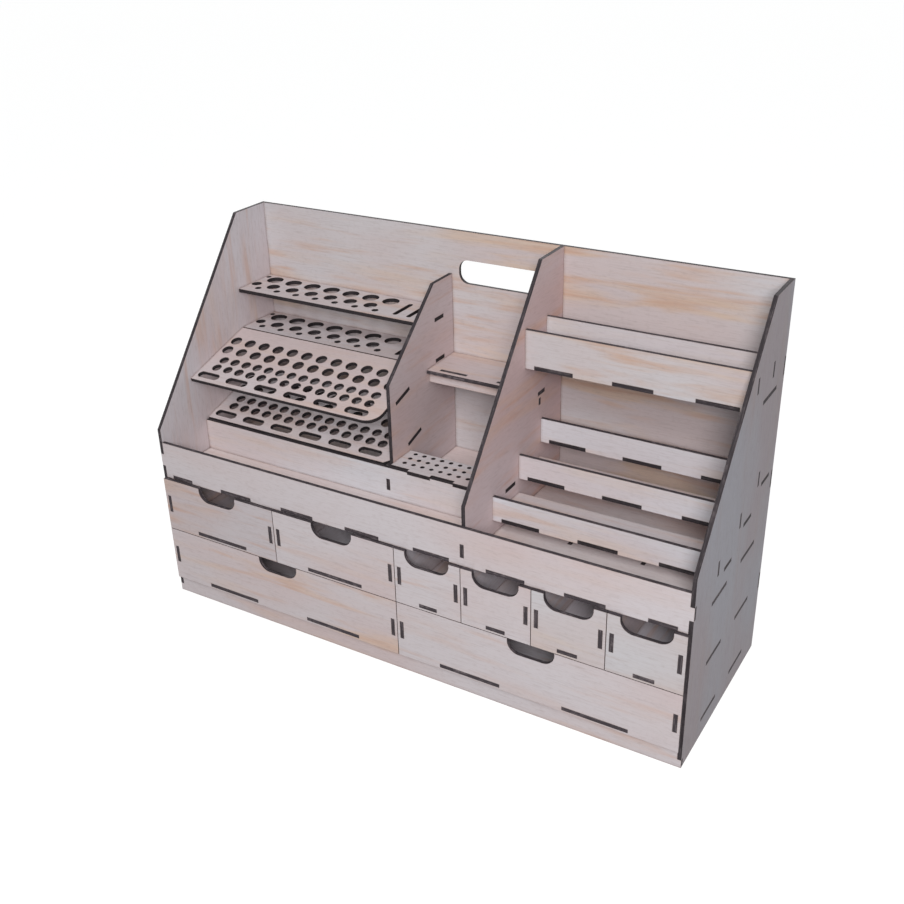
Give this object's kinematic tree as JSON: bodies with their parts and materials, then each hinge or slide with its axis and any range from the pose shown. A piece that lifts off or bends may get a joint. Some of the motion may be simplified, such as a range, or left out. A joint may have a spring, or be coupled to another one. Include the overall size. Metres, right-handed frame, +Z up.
{
  "type": "hobby workstation organizer",
  "caption": "Laser-cut plywood desktop organizer with drawers, front trays, perforated tool decks, a pliers bay and stepped paint shelves.",
  "frame": {"origin": "centre of the footprint, on the surface the organizer stands on", "axes": "+X to the right seen from the front, +Y to the back, +Z up; the drawers open towards -Y"},
  "size_m": [0.45, 0.1592, 0.3],
  "materials": {
    "plywood": "matte",
    "plywood_drawers": "matte"
  },
  "bodies": {
    "carcass": {"side_panel_left": "plywood", "side_panel_right": "plywood", "back_panel": "plywood", "bottom_board": "plywood", "middle_board": "plywood", "top_board": "plywood", "fascia": "plywood", "plinth_rail": "plywood", "upper_dividers": "plywood", "lower_divider": "plywood", "tall_divider": "plywood", "short_divider": "plywood", "riser": "plywood", "lower_tool_deck": "plywood", "upper_tool_deck": "plywood", "tool_shelf_low": "plywood", "tool_shelf_high": "plywood", "pliers_deck": "plywood", "pliers_ledge": "plywood", "ledge_rail": "plywood", "paint_shelf_1": "plywood", "paint_shelf_2": "plywood", "paint_shelf_3": "plywood", "paint_shelf_4": "plywood", "lip_high_front": "plywood", "lip_high_back": "plywood", "step_lips": "plywood"},
    "drawer_1": {"drawer_1_front": "plywood_drawers", "drawer_1_back": "plywood_drawers", "drawer_1_sides": "plywood_drawers", "drawer_1_bottom": "plywood_drawers"},
    "drawer_2": {"drawer_2_front": "plywood_drawers", "drawer_2_back": "plywood_drawers", "drawer_2_sides": "plywood_drawers", "drawer_2_bottom": "plywood_drawers"},
    "drawer_3": {"drawer_3_front": "plywood_drawers", "drawer_3_back": "plywood_drawers", "drawer_3_sides": "plywood_drawers", "drawer_3_bottom": "plywood_drawers"},
    "drawer_4": {"drawer_4_front": "plywood_drawers", "drawer_4_back": "plywood_drawers", "drawer_4_sides": "plywood_drawers", "drawer_4_bottom": "plywood_drawers"},
    "drawer_5": {"drawer_5_front": "plywood_drawers", "drawer_5_back": "plywood_drawers", "drawer_5_sides": "plywood_drawers", "drawer_5_bottom": "plywood_drawers"},
    "drawer_6": {"drawer_6_front": "plywood_drawers", "drawer_6_back": "plywood_drawers", "drawer_6_sides": "plywood_drawers", "drawer_6_bottom": "plywood_drawers"},
    "drawer_7": {"drawer_7_front": "plywood_drawers", "drawer_7_back": "plywood_drawers", "drawer_7_sides": "plywood_drawers", "drawer_7_bottom": "plywood_drawers"},
    "drawer_8": {"drawer_8_front": "plywood_drawers", "drawer_8_back": "plywood_drawers", "drawer_8_sides": "plywood_drawers", "drawer_8_bottom": "plywood_drawers"}
  },
  "joints": [
    {"name": "drawer_1_slide", "type": "slide", "parent": "carcass", "child": "drawer_1", "axis": [0, -1, 0], "range_m": [0, 0.12]},
    {"name": "drawer_2_slide", "type": "slide", "parent": "carcass", "child": "drawer_2", "axis": [0, -1, 0], "range_m": [0, 0.12]},
    {"name": "drawer_3_slide", "type": "slide", "parent": "carcass", "child": "drawer_3", "axis": [0, -1, 0], "range_m": [0, 0.12]},
    {"name": "drawer_4_slide", "type": "slide", "parent": "carcass", "child": "drawer_4", "axis": [0, -1, 0], "range_m": [0, 0.12]},
    {"name": "drawer_5_slide", "type": "slide", "parent": "carcass", "child": "drawer_5", "axis": [0, -1, 0], "range_m": [0, 0.12]},
    {"name": "drawer_6_slide", "type": "slide", "parent": "carcass", "child": "drawer_6", "axis": [0, -1, 0], "range_m": [0, 0.12]},
    {"name": "drawer_7_slide", "type": "slide", "parent": "carcass", "child": "drawer_7", "axis": [0, -1, 0], "range_m": [0, 0.12]},
    {"name": "drawer_8_slide", "type": "slide", "parent": "carcass", "child": "drawer_8", "axis": [0, -1, 0], "range_m": [0, 0.12]}
  ]
}
